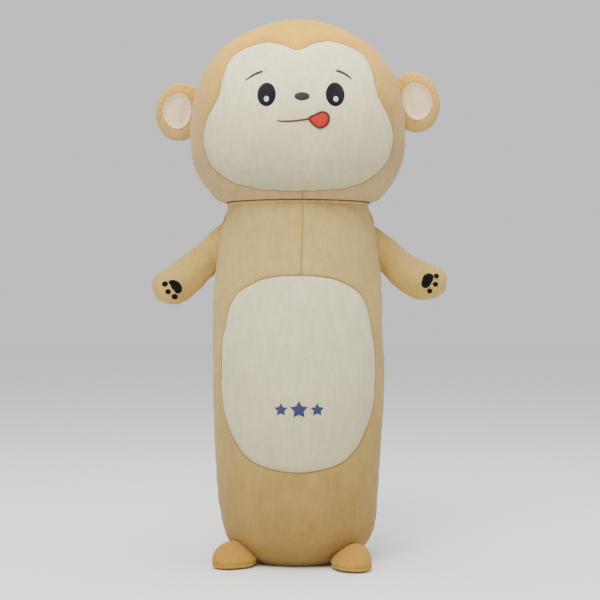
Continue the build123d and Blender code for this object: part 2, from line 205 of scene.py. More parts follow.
def even_profile(profile, step, passes=4):
    """The profile with even spacing and its corners softened."""
    p = np.array(profile, float)
    lengths = np.r_[0, np.cumsum(np.linalg.norm(np.diff(p, axis=0), axis=1))]
    at = np.linspace(0, lengths[-1], int(lengths[-1] / step))
    p = np.c_[np.interp(at, lengths, p[:, 0]), np.interp(at, lengths, p[:, 1])]
    for _ in range(passes):
        p[1:-1] = (p[:-2] + 2 * p[1:-1] + p[2:]) / 4
    return p


# ---------------------------------------------------------------- materials
def linear(red, green, blue):
    """Screen colour 0-255 to scene-linear."""
    values = []
    for v in (red, green, blue):
        v /= 255
        values.append(v / 12.92 if v <= 0.04045 else ((v + 0.055) / 1.055) ** 2.4)
    return (*values, 1.0)


def new_material(name):
    material = bpy.data.materials.new(name)
    material.use_nodes = True
    nodes, links = material.node_tree.nodes, material.node_tree.links
    return material, nodes, links, nodes["Principled BSDF"]


def mix_colour(nodes, links, blend, factor, a, b):
    mix = nodes.new("ShaderNodeMix")
    mix.data_type = "RGBA"
    mix.blend_type = blend
    for socket, value in ((mix.inputs["Factor"], factor), (mix.inputs["A"], a), (mix.inputs["B"], b)):
        if isinstance(value, bpy.types.NodeSocket):
            links.new(value, socket)
        else:
            socket.default_value = value
    return mix.outputs["Result"]


def noise_node(nodes, links, where, scale, detail=3.0, rough=0.55, stretch=None):
    if stretch:
        mapping = nodes.new("ShaderNodeMapping")
        mapping.inputs["Scale"].default_value = stretch
        links.new(where, mapping.inputs["Vector"])
        where = mapping.outputs["Vector"]
    texture = nodes.new("ShaderNodeTexNoise")
    texture.inputs["Scale"].default_value = scale
    texture.inputs["Detail"].default_value = detail
    texture.inputs["Roughness"].default_value = rough
    links.new(where, texture.inputs["Vector"])
    return texture.outputs["Fac"]


def ramp(nodes, links, value, low, high, at=(0.3, 0.7)):
    node = nodes.new("ShaderNodeValToRGB")
    node.color_ramp.elements[0].position = at[0]
    node.color_ramp.elements[0].color = low
    node.color_ramp.elements[1].position = at[1]
    node.color_ramp.elements[1].color = high
    links.new(value, node.inputs["Fac"])
    return node.outputs["Color"]


def plush(name, lit_high_colour, shaded_low_colour, heights, mottle=0.12, sheen=0.16):
    """Short brushed pile: colour that drifts with height, lighter high up and darker low down, which on the
    head, face, body and belly is painted light from above and painted shade below; blotches where it lies
    over, fine grain.
    """
    material, nodes, links, shader = new_material(name)
    where = nodes.new("ShaderNodeTexCoord").outputs["Object"]
    split = nodes.new("ShaderNodeSeparateXYZ")
    links.new(where, split.inputs["Vector"])
    span = nodes.new("ShaderNodeMapRange")
    span.inputs["From Min"].default_value = heights[0]
    span.inputs["From Max"].default_value = heights[1]
    links.new(split.outputs["Z"], span.inputs["Value"])
    # Painted light and shade: the low colour at the bottom of the heights, the high colour at the top.
    base = mix_colour(nodes, links, "MIX", span.outputs["Result"], shaded_low_colour, lit_high_colour)
    dark, light = (1 - mottle,) * 3 + (1,), (1 + mottle * 0.4,) * 3 + (1,)
    blotches = ramp(nodes, links, noise_node(nodes, links, where, 17, 4.0, 0.6), dark, light)
    base = mix_colour(nodes, links, "MULTIPLY", 1.0, base, blotches)
    streaks = noise_node(nodes, links, where, 120, 3.0, 0.6, (1.0, 1.0, 0.35))
    base = mix_colour(nodes, links, "MULTIPLY", 1.0, base, ramp(
        nodes, links, streaks, (0.90, 0.89, 0.86, 1), (1.05, 1.05, 1.05, 1)))
    fibre = noise_node(nodes, links, where, 900, 2.0, 0.7)
    base = mix_colour(nodes, links, "MULTIPLY", 1.0, base, ramp(
        nodes, links, fibre, (0.86, 0.85, 0.82, 1), (1.07, 1.07, 1.07, 1), (0.35, 0.65)))
    links.new(base, shader.inputs["Base Color"])
    fine = nodes.new("ShaderNodeBump")
    fine.inputs["Strength"].default_value = 0.55
    fine.inputs["Distance"].default_value = 0.0009
    links.new(fibre, fine.inputs["Height"])
    coarse = nodes.new("ShaderNodeBump")
    coarse.inputs["Strength"].default_value = 0.35
    coarse.inputs["Distance"].default_value = 0.0015
    links.new(streaks, coarse.inputs["Height"])
    links.new(fine.outputs["Normal"], coarse.inputs["Normal"])
    links.new(coarse.outputs["Normal"], shader.inputs["Normal"])
    rough = nodes.new("ShaderNodeMapRange")
    rough.inputs["To Min"].default_value = 0.82
    rough.inputs["To Max"].default_value = 1.0
    links.new(fibre, rough.inputs["Value"])
    links.new(rough.outputs["Result"], shader.inputs["Roughness"])
    shader.inputs["Specular IOR Level"].default_value = 0.12
    shader.inputs["Sheen Weight"].default_value = sheen
    shader.inputs["Sheen Roughness"].default_value = 0.45
    shader.inputs["Sheen Tint"].default_value = (1.0, 0.95, 0.86, 1)
    return material


def satin(name, colour, angle=0.0, pitch=0.0009, gloss=0.42, sheen=0.15):
    """Rows of machine embroidery thread laid side by side, at this angle in the XZ plane."""
    material, nodes, links, shader = new_material(name)
    where = nodes.new("ShaderNodeTexCoord").outputs["Object"]
    mapping = nodes.new("ShaderNodeMapping")
    mapping.inputs["Rotation"].default_value = (0, angle, 0)
    mapping.inputs["Scale"].default_value = (1, 0.05, 1)
    links.new(where, mapping.inputs["Vector"])
    wave = nodes.new("ShaderNodeTexWave")
    wave.bands_direction = "X"
    wave.inputs["Scale"].default_value = 0.314 / pitch
    wave.inputs["Distortion"].default_value = 1.2
    wave.inputs["Detail"].default_value = 2.0
    links.new(mapping.outputs["Vector"], wave.inputs["Vector"])
    shade = tuple(c * 0.55 for c in colour[:3]) + (1,)
    base = mix_colour(nodes, links, "MIX", wave.outputs["Fac"], shade, colour)
    fibre = noise_node(nodes, links, where, 1500, 2.0)
    base = mix_colour(nodes, links, "MULTIPLY", 1.0, base, ramp(
        nodes, links, fibre, (0.85, 0.85, 0.85, 1), (1.1, 1.1, 1.1, 1)))
    links.new(base, shader.inputs["Base Color"])
    bump = nodes.new("ShaderNodeBump")
    bump.inputs["Strength"].default_value = 0.7
    bump.inputs["Distance"].default_value = 0.0005
    links.new(wave.outputs["Fac"], bump.inputs["Height"])
    links.new(bump.outputs["Normal"], shader.inputs["Normal"])
    shader.inputs["Roughness"].default_value = gloss
    shader.inputs["Anisotropic"].default_value = 0.5
    shader.inputs["Sheen Weight"].default_value = sheen
    shader.inputs["Specular IOR Level"].default_value = 0.15 + sheen
    return material


# Head tan: the yellower, lighter top is a painted highlight from the light above, and the duller lower head
# is painted shade.
TAN_HEAD = plush("tan_plush_head", linear(234, 180, 58), linear(184, 156, 108), (0.60, 0.775))
# Body tan: darker towards the bottom, painted shade under the light from above.
TAN_BODY = plush("tan_plush_body", linear(196, 170, 106), linear(152, 120, 62), (0.0, 0.42))
TAN_LIMB = plush("tan_plush_limb", linear(190, 160, 92), linear(180, 138, 56), (0.0, 0.42))
# Face cream: light at the brow and dark at the chin, painted light from above and painted shade under the
# chin.
FACE_CREAM = plush("cream_plush_face", linear(252, 240, 198), linear(172, 168, 132), (0.53, 0.70), 0.07)
# Belly cream: darker towards the bottom of the patch, painted shade.
CREAM = plush("cream_plush_belly", linear(224, 218, 182), linear(192, 184, 146), (0.14, 0.40), 0.08)
BLACK = satin("black_thread", linear(20, 22, 30), 0.0, gloss=0.55, sheen=0.05)
WHITE = satin("white_thread", linear(226, 229, 234), 0.6)
GREY = satin("grey_thread", linear(50, 44, 54), 1.2, sheen=0.08)
BROWN = satin("brown_thread", linear(98, 52, 38), 0.5)
RED = satin("red_thread", linear(228, 40, 24), 0.9)
PAW_BLACK = satin("paw_black_thread", linear(9, 8, 9), 0.4, gloss=0.7, sheen=0.0)
NAVY = satin("navy_thread", linear(52, 60, 108), 0.8)
TAN_THREAD = satin("tan_thread", linear(168, 140, 96), 0.3)
# A darker line along the seams: partly their stitches, partly painted shade in their grooves.
SEAM_THREAD_AND_SHADE = satin("seam_thread_and_shade", linear(172, 140, 90), 0.3, gloss=0.8, sheen=0.05)
BROW = satin("brow_thread", linear(74, 50, 46), 0.5)
EAR_CREAM = plush("cream_plush_ear", linear(240, 220, 184), linear(228, 204, 168), (0.60, 0.72), 0.07)


# ---------------------------------------------------------------- head
def head_relief(points):
    """How far the head cloth stands out or in, for points on its plain form."""
    x, y, z = points[:, 0], points[:, 1], points[:, 2]
    relief = 0.0010 * ripple(points, 0.17, 3) + 0.0004 * ripple(points, 0.040, 4)
    side = np.abs(y) + np.clip(0.55 - z, 0, 1)
    relief += groove(side, 0.0020, 0.006) + puckers(points, side, 0.0006, 0.014, 0.022, 5)
    back = np.abs(x) + np.where(y < 0, 1.0, 0.0)
    relief += groove(back, 0.0018, 0.005) + puckers(points, back, 0.0006, 0.014, 0.020, 8)
    relief += puckers(points, np.abs(z - 0.545), 0.0009, 0.012, 0.028, 6)
    return relief * np.clip((z - 0.528) / 0.012, 0, 1)


def face_relief(points):
    """Extra relief near the face patch seam and its chin seam."""
    flat = points[:, [0, 2]]
    distance, inside = loop_distance(flat, FACE_LOOP)
    distance = np.where(points[:, 1] < 0, distance, 1.0)
    relief = groove(distance, 0.0026, 0.0060) + puckers(points, distance, 0.0004, 0.012, 0.018, 7)
    chin = np.hypot(flat[:, 0] - 0.0065, np.clip(flat[:, 1] - 0.572, 0, 1))
    chin = np.where(points[:, 1] < 0, chin, 1.0)
    fade = np.clip((points[:, 2] - 0.528) / 0.012, 0, 1)
    relief += (groove(chin, 0.0016, 0.0035) + puckers(points, chin, 0.0005, 0.010, 0.014, 9)) * fade
    return relief, distance, inside & (points[:, 1] < 0)


def turned(points, angle):
    """Points turned about the upright axis."""
    c, s = math.cos(angle), math.sin(angle)
    x, y, z = points[:, 0], points[:, 1], points[:, 2]
    return np.stack([c * x - s * y, s * x + c * y, z], axis=1)


def on_head(x, z, lift=0.0, turn=0.0):
    """Point of the head cloth in front of (x, z), or turned about the upright axis, raised by lift."""
    x, z = np.asarray(x, float), np.asarray(z, float)
    radius = head_radius(z)
    y = -np.sqrt(np.clip(radius ** 2 - x ** 2, 1e-9, None))
    slope = np.gradient(head_radius(np.stack([z - 1e-4, z, z + 1e-4])), axis=0)[1] / 1e-4
    normals = np.stack([x / radius, y / radius, -slope], axis=1)
    normals = turned(normals / np.linalg.norm(normals, axis=1, keepdims=True), turn)
    points = turned(np.stack([x, y, z], axis=1), turn)
    relief = head_relief(points) + face_relief(points)[0]
    return points + normals * (relief + lift)[:, None]


def head_profile():
    inner = [(HEAD_CUP * math.sin(a), NECK_CENTRE.z + HEAD_CUP * math.cos(a))
             for a in np.linspace(math.radians(34), math.radians(53.2), 14)]
    start = (0.5289 - HEAD_MID) / (HEAD_MID - HEAD_LOW)
    angle = np.linspace(math.asin(-((-start) ** (HEAD_POWER / 2))), math.pi / 2, 160)
    rise = np.abs(np.sin(angle)) ** (2 / HEAD_POWER)
    reach = np.where(angle > 0, HEAD_TOP - HEAD_MID, HEAD_MID - HEAD_LOW)
    outer = list(zip(HEAD_R * np.cos(angle), HEAD_MID + np.sign(angle) * reach * rise))
    outer[-1] = (0.0004, HEAD_TOP)
    return even_profile(inner + outer, 0.0026, 3)


def make_head():
    grid = turned_grid(head_profile(), 320)
    shape = grid.shape[:2]
    normals = grid_normals(grid).reshape(-1, 3)
    points = grid.reshape(-1, 3)
    relief = head_relief(points)
    extra, distance, inside = face_relief(points)
    relief += extra - np.where(inside, PATCH_SINK * np.clip(distance / 0.0025, 0, 1), 0)
    relief *= np.clip((np.linalg.norm(points - np.array(NECK_CENTRE), axis=1) - HEAD_CUP) / 0.006, 0, 1)
    points = points + normals * relief[:, None]
    faces = grid_faces(*shape)
    panels = {
        "head_front": (lambda m: m[:, 1] < 0),
        "head_back_left": (lambda m: (m[:, 1] >= 0) & (m[:, 0] < 0)),
        "head_back_right": (lambda m: (m[:, 1] >= 0) & (m[:, 0] >= 0)),
    }
    for name, wanted in panels.items():
        piece = make_mesh(f"{name}_skin", *keep_faces(points, faces, wanted), TAN_HEAD, "tan_plush")
        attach(piece, "head")
        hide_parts(name)
    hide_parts("head_fill")


def patch_grid(loop, rings, edge):
    """Points (x, z) over the area of a loop, densest near its edge and carried past it by edge."""
    middle = loop.mean(axis=0)
    shares = 1 - (1 - np.linspace(0.0, 1.0, rings)) ** 1.3
    reach = np.linalg.norm(loop - middle, axis=1, keepdims=True)
    rows = [middle + (loop - middle) * (0.002 + 0.998 * s) for s in shares]
    rows += [middle + (loop - middle) * (1 + s * edge / reach) for s in (0.5, 1.0)]
    return np.array(rows)


def patch_lift(distance, inside):
    """Height of a sewn-in patch over the cloth around it: puffed inside, tucked under past its seam."""
    puff = 0.0004 + 0.0008 * (1 - np.exp(-distance / 0.006))
    return np.where(inside, puff, 0.0003 - 2.4 * distance)


def make_face():
    rows = patch_grid(FACE_LOOP, 70, 0.0012)
    flat = rows.reshape(-1, 2)
    distance, inside = loop_distance(flat, FACE_LOOP)
    lift = patch_lift(distance, inside)
    points = on_head(flat[:, 0], flat[:, 1], lift)
    faces = grid_faces(rows.shape[0], rows.shape[1])
    piece = make_mesh("face_patch_skin", points, faces, FACE_CREAM, "cream_plush")
    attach(piece, "head")
    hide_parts("face_patch")
    seam_thread_and_shade("face_seam_thread", FACE_LOOP, on_head, "head", closed=True)
    chin = np.c_[np.full(30, 0.0065), np.linspace(0.5375, 0.5310, 30)]
    seam_thread_and_shade("chin_seam_thread", chin, on_head, "head")
    upright_seams("head", on_head, 0.5330, 0.7985, "head")


# ---------------------------------------------------------------- embroidery
def pillow_rows(loop, rings=9):
    middle = loop.mean(axis=0)
    shares = np.linspace(0.02, 1.0, rings)
    return np.array([middle + (loop - middle) * s for s in shares]), shares


def embroider(name, loop, surface, material, slot, body, nodes, level=0.0011, height=0.0011):
    """A padded satin shape on a surface: domed, with its edge tucked into the cloth."""
    rows, shares = pillow_rows(loop)
    flat = rows.reshape(-1, 2)
    dome = (1 - shares ** 6) * height - np.where(shares > 0.99, 0.0008, 0)
    lift = np.repeat(dome, len(loop)) + level
    points = surface(flat[:, 0], flat[:, 1], lift)
    piece = make_mesh(name, points, grid_faces(rows.shape[0], rows.shape[1]), material, slot)
    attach(piece, body)
    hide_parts(*nodes)
    return piece


def embroider_line(name, path, widths, surface, material, slot, body, nodes, height=0.0013, closed=False,
                   level=0.0011):
    """A padded satin line along a path in (x, z), as wide as its widths say."""
    path = np.array(path, float)
    along = (np.roll(path, -1, axis=0) - np.roll(path, 1, axis=0)) if closed else np.gradient(path, axis=0)
    along /= np.linalg.norm(along, axis=1, keepdims=True)
    side = np.stack([-along[:, 1], along[:, 0]], axis=1)
    across = np.linspace(-1, 1, 9)
    widths = np.interp(np.linspace(0, 1, len(path)), np.linspace(0, 1, len(widths)), widths)
    rows = np.array([path + side * (t * widths[:, None] / 2) for t in across])
    dome = height * (1 - across ** 4) - np.where(np.abs(across) > 0.99, 0.0008, 0)
    lift = np.repeat(dome, len(path)) + level
    flat = rows.reshape(-1, 2)
    points = surface(flat[:, 0], flat[:, 1], lift)
    faces = grid_faces(rows.shape[0], rows.shape[1], closed)
    piece = make_mesh(name, points, faces, material, slot)
    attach(piece, body)
    if nodes:
        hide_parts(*nodes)
    return piece


def seam_thread_and_shade(name, path, surface, body, closed=False, level=0.0):
    """The thread sunk in a seam, seen as a fine darker line: partly the seam's stitches, partly painted
    shade in the seam's groove.
    """
    return embroider_line(name, path, (0.0011, 0.0011), surface, SEAM_THREAD_AND_SHADE, "tan_thread", body, [],
                          height=0.0010, closed=closed, level=level)


def upright_seams(name, surface, low, high, body):
    """Thread of the two side seams and the back seam of a turned form: a darker line, partly their stitches
    and partly painted shade in their grooves.
    """
    heights = low + (high - low) * np.sin(np.linspace(0, math.pi / 2, 150))
    path = np.c_[0 * heights, heights]
    for label, angle in (("left", -math.pi / 2), ("right", math.pi / 2), ("back", math.pi)):
        seam_thread_and_shade(f"{name}_{label}_seam_thread_and_shade", path, functools.partial(surface, turn=angle), body)


def oval_loop(x, z, half_width, half_height, count=72, lean=0.0):
    angle = np.linspace(0, 2 * math.pi, count, endpoint=False)
    a, b = half_width * np.cos(angle), half_height * np.sin(angle)
    return np.c_[x + a * math.cos(lean) - b * math.sin(lean), z + a * math.sin(lean) + b * math.cos(lean)]


def smooth_path(points, count):
    p = np.array(points, float)
    t = np.linspace(0, 1, len(p))
    fit = [np.polyfit(t, p[:, k], min(len(p) - 1, 3)) for k in (0, 1)]
    at = np.linspace(0, 1, count)
    return np.c_[np.polyval(fit[0], at), np.polyval(fit[1], at)]


FACE_MIDDLE, EYE_SPREAD = 0.0041, 0.0476
BROWS = {
    "left": [(-.0489, .7071), (-.0611, .7030), (-.0732, .6954)],
    "right": [(.0526, .7075), (.0638, .7043), (.0744, .6972)],
}
BROW_WIDTHS = (.0030, .0040, .0036, .0030, .0016)
MOUTH = [(-.0286, .6366), (-.0160, .6352), (.0000, .6362), (.0160, .6388)]
MOUTH_WIDTHS = (.0020, .0029, .0031, .0031)
TONGUE = [
    (.0148, .6390), (.0229, .6443), (.0335, .6488), (.0411, .6462), (.0434, .6382),
    (.0395, .6296), (.0305, .6258), (.0224, .6296),
]


def make_face_embroidery():
    for side, sign in SIDES.items():
        x = FACE_MIDDLE + sign * EYE_SPREAD
        embroider(f"eye_{side}_stitching", oval_loop(x, .6737, .0140, .0182), on_head, BLACK,
                  "black_thread", "head", [f"eye_{side}"], height=0.0016)
        embroider(f"eye_glint_{side}_stitching", oval_loop(x + .0004, .6668, .0038, .0044, 40), on_head,
                  WHITE, "white_thread", "head", [f"eye_glint_{side}"], level=0.0026, height=0.0010)
        embroider_line(f"brow_{side}_stitching", smooth_path(BROWS[side], 30), BROW_WIDTHS, on_head,
                       BROW, "brown_thread", "head", [f"brow_{side}"])
    embroider("nose_stitching", oval_loop(.0057, .6702, .0114, .0062, 56), on_head, GREY, "grey_thread",
              "head", ["nose"], height=0.0022)
    embroider_line("mouth_line_stitching", smooth_path(MOUTH, 40), MOUTH_WIDTHS, on_head, BROWN,
                   "brown_thread", "head", ["mouth_line"])
    tongue = smooth_loop(TONGUE, 96)
    centre = tongue.mean(axis=0)
    embroider("tongue_stitching", centre + (tongue - centre) * 0.96, on_head, RED, "red_thread", "head",
              ["tongue"], height=0.0018)
    embroider_line("tongue_outline_stitching", centre + (tongue - centre) * 0.97, (.0030, .0030), on_head,
                   BROWN, "brown_thread", "head", ["tongue_outline"], height=0.0019, closed=True)


# ---------------------------------------------------------------- body
def body_relief(points):
    x, y, z = points[:, 0], points[:, 1], points[:, 2]
    relief = 0.0018 * ripple(points, 0.22, 13) + 0.0005 * ripple(points, 0.050, 14)
    seam = np.abs(y)
    relief += groove(seam, 0.0022, 0.006) + puckers(points, seam, 0.0008, 0.016, 0.024, 15)
    back = np.abs(x) + np.where(y < 0, 1.0, 0.0)
    relief += groove(back, 0.0020, 0.0055) + puckers(points, back, 0.0007, 0.014, 0.02, 16)
    chest = np.hypot(x - 0.0055, np.clip(0.424 - z, 0, 1)) + np.where(y > 0, 1.0, 0.0)
    relief += groove(chest, 0.0019, 0.0042) + puckers(points, chest, 0.0005, 0.010, 0.018, 17)
    relief += puckers(points, np.abs(z - 0.505), 0.0010, 0.018, 0.030, 18)
    relief += puckers(points, z, 0.0008, 0.022, 0.026, 19)
    for sign in (-1, 1):
        shoulder = np.linalg.norm(points - np.array([sign * 0.120, 0, 0.460]), axis=1)
        relief += puckers(points, shoulder, 0.0010, 0.045, 0.024, 21)
    return relief * np.clip(z / 0.012, 0, 1) * np.clip((0.5265 - z) / 0.010, 0, 1)


def belly_relief(points):
    flat = points[:, [0, 2]]
    distance, inside = loop_distance(flat, BELLY_LOOP)
    distance = np.where(points[:, 1] < 0, distance, 1.0)
    relief = groove(distance, 0.0022, 0.0052) + puckers(points, distance, 0.0004, 0.012, 0.020, 20)
    return relief, distance, inside & (points[:, 1] < 0)


def on_body(x, z, lift=0.0, turn=0.0):
    x, z = np.asarray(x, float), np.asarray(z, float)
    radius = body_radius(z)
    y = -np.sqrt(np.clip(radius ** 2 - x ** 2, 1e-9, None))
    points = turned(np.stack([x, y, z], axis=1), turn)
    normals = turned(np.stack([x / radius, y / radius, 0 * x], axis=1), turn)
    relief = body_relief(points) + belly_relief(points)[0]
    return points + normals * (relief + lift)[:, None]


def body_profile():
    heights = np.linspace(0.0, 0.5262, 240)
    wall = [(float(body_radius(np.array(z))), z) for z in heights]
    dome = [(TORSO_CAP * math.sin(a), NECK_CENTRE.z + TORSO_CAP * math.cos(a))
            for a in np.linspace(math.radians(53.3), math.radians(20), 30)]
    return even_profile(wall + dome, 0.0028, 2)


def make_body():
    grid = turned_grid(body_profile(), 280)
    shape = grid.shape[:2]
    normals = grid_normals(grid).reshape(-1, 3)
    points = grid.reshape(-1, 3)
    relief = body_relief(points)
    extra, distance, inside = belly_relief(points)
    relief += extra - np.where(inside, PATCH_SINK * np.clip(distance / 0.0025, 0, 1), 0)
    points = points + normals * relief[:, None]
    points[:, 2] = np.maximum(points[:, 2], 0.0006)
    faces = grid_faces(*shape)
    panels = {
        "body_front": (lambda m: m[:, 1] < 0),
        "body_back_left": (lambda m: (m[:, 1] >= 0) & (m[:, 0] < 0)),
        "body_back_right": (lambda m: (m[:, 1] >= 0) & (m[:, 0] >= 0)),
    }
    for name, wanted in panels.items():
        piece = make_mesh(f"{name}_skin", *keep_faces(points, faces, wanted), TAN_BODY, "tan_plush")
        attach(piece, "torso")
        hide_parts(name)
    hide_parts("body_fill")


def make_belly():
    rows = patch_grid(BELLY_LOOP, 76, 0.0012)
    flat = rows.reshape(-1, 2)
    distance, inside = loop_distance(flat, BELLY_LOOP)
    points = on_body(flat[:, 0], flat[:, 1], patch_lift(distance, inside))
    piece = make_mesh("belly_patch_skin", points, grid_faces(*rows.shape[:2]), CREAM, "cream_plush")
    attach(piece, "torso")
    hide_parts("belly_patch")
    seam_thread_and_shade("belly_seam_thread", BELLY_LOOP, on_body, "torso", closed=True)
    chest = np.c_[np.linspace(0.0072, 0.0045, 60), np.linspace(0.5225, 0.4225, 60)]
    seam_thread_and_shade("chest_seam_thread", chest, on_body, "torso")
    upright_seams("body", on_body, 0.0150, 0.5220, "torso")


def make_base():
    rows = []
    for share in np.linspace(0.004, 1.0, 26):
        rows.append((BASE_R * share, 0.0004 + 0.0022 * share ** 8))
    grid = turned_grid(rows, 160)
    points = grid.reshape(-1, 3)
    points[:, 2] += 0.0003 * (1 + ripple(points, 0.03, 22)) * 0.5
    faces = [face[::-1] for face in grid_faces(*grid.shape[:2])]
    piece = make_mesh("base_panel_skin", points, faces, TAN_BODY, "tan_plush")
    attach(piece, "torso")
    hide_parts("base_panel")


def star_loop(x, z, radius, waist=0.48, count=120):
    corners = []
    for step in range(10):
        angle = math.radians(90 + 36 * step)
        reach = radius if step % 2 == 0 else radius * waist
        corners.append((x + reach * math.cos(angle), z + reach * math.sin(angle)))
    corners = np.array(corners)
    share = np.linspace(0, 10, count, endpoint=False)
    index = share.astype(int)
    part = (share - index)[:, None]
    return corners[index] * (1 - part) + corners[(index + 1) % 10] * part


STARS = ((-.0235, .0105), (.0015, .0140), (.0265, .0105))    # middle across, radius
STAR_Z, STAR_WAIST = .2315, 0.52


def make_badge():
    """Three plain stars in a row across the belly."""
    for index, (x, radius) in enumerate(STARS):
        star = star_loop(x, STAR_Z, radius, waist=STAR_WAIST)
        nodes = ["belly_badge"] if index == 0 else []
        embroider(f"belly_star_{index + 1}", star, on_body, NAVY, "navy_thread", "torso", nodes,
                  height=0.0016)


# ---------------------------------------------------------------- short threads
def thread_bars(name, pairs, radius, material, slot, body, nodes):
    """Short round stitches between pairs of points, bowed outwards, in one piece."""
    steps, sides = 7, 8
    points, faces = [], []
    for start, end, outward in pairs:
        start, end, outward = Vector(start), Vector(end), Vector(outward).normalized()
        along = (end - start).normalized()
        side = along.cross(outward).normalized()
        base = len(points)
        for i in range(steps):
            t = i / (steps - 1)
            centre = start.lerp(end, t) + outward * (radius * 1.6 * math.sin(math.pi * t) - radius * 0.6)
            thick = radius * (0.55 + 0.45 * math.sin(math.pi * t))
            for k in range(sides):
                a = 2 * math.pi * k / sides
                points.append(tuple(centre + (side * math.cos(a) + outward * math.sin(a)) * thick))
        for i in range(steps - 1):
            near, far = base + i * sides, base + (i + 1) * sides
            for k in range(sides):
                n = (k + 1) % sides
                faces.append((near + k, near + n, far + n, far + k))
        faces.append(tuple(base + k for k in range(sides)))
        faces.append(tuple(base + (steps - 1) * sides + k for k in reversed(range(sides))))
    piece = make_mesh(name, points, faces, material, slot)
    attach(piece, body)
    if nodes:
        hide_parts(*nodes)
    return piece


def make_closing_stitches():
    low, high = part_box("closing_stitches")
    count = 17
    heights = np.linspace(low.z, high.z, count)
    half = 0.0042 + 0.0005 * np.sin(np.arange(count) * 2.1)
    starts = on_body(half, heights, 0.0006, turn=math.pi)
    ends = on_body(-half, heights + 0.0016, 0.0006, turn=math.pi)
    pairs = [(start, end, (0, 1, 0)) for start, end in zip(starts, ends)]
    thread_bars("closing_stitches_thread", pairs, 0.0007, TAN_THREAD, "tan_thread", "torso",
                ["closing_stitches"])


NECK_STITCHES, STITCH_REACH, STITCH_LEAN = 56, 0.1052, 0.02
STITCH_LOW, STITCH_HIGH = 0.5270, 0.5297


def roll_section(radius, height, thickness):
    """Round section (radius, z) of a roll of cloth round the neck."""
    turns = np.linspace(0, 2 * math.pi, 13)
    return [(radius + thickness * math.cos(a), height + thickness * math.sin(a)) for a in turns]


def make_neck():
    """Rolled hem in the neck crease, the stuffed layer above it and the hand stitches."""
    grid = turned_grid(roll_section(0.1036, 0.5278, 0.0022), 240)
    points = grid.reshape(-1, 3)
    gather = 0.0003 * ripple(points, 0.012, 31)
    points = points * (1 + gather[:, None] / 0.1 * np.array([1, 1, 0]))
    hem = make_mesh("neck_hem_roll", points, grid_faces(*grid.shape[:2]), TAN_BODY, "hem_cloth")
    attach(hem, "neck_upper")
    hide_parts("neck_hem")
    grid = turned_grid(roll_section(0.0990, 0.5305, 0.0020), 200)
    points = grid.reshape(-1, 3)
    fill = make_mesh("neck_fill_roll", points, grid_faces(*grid.shape[:2]), TAN_BODY, "hem_cloth")
    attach(fill, "neck_lower")
    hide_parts("neck_fill")
    pairs = []
    for index in range(NECK_STITCHES):
        a = 2 * math.pi * (index + 0.3) / NECK_STITCHES
        out = Vector((math.cos(a), math.sin(a), 0))
        leaning = Vector((math.cos(a + STITCH_LEAN), math.sin(a + STITCH_LEAN), 0))
        start = out * STITCH_REACH + Vector((0, 0, STITCH_LOW))
        end = leaning * STITCH_REACH + Vector((0, 0, STITCH_HIGH))
        pairs.append((start, end, out))
    thread_bars("neck_stitches_thread", pairs, 0.0005, TAN_THREAD, "tan_thread", "neck_upper",
                ["neck_stitches"])


# ---------------------------------------------------------------- ears
EAR_SIZE = {"left": 1.0, "right": 1.04}
EAR_DEPTH, EAR_MIDDLE = 0.0110, 0.0185
EAR_BOWL = (0.0205, 0.0262)    # half width, half height of the cream patch
EAR_OUTLINE = [
    (-.014, .0), (-.011, .029), (.006, .0425), (.028, .0405), (.044, .026), (.0505, .004),
    (.047, -.020), (.030, -.040), (.008, -.0425), (-.011, -.029),
]


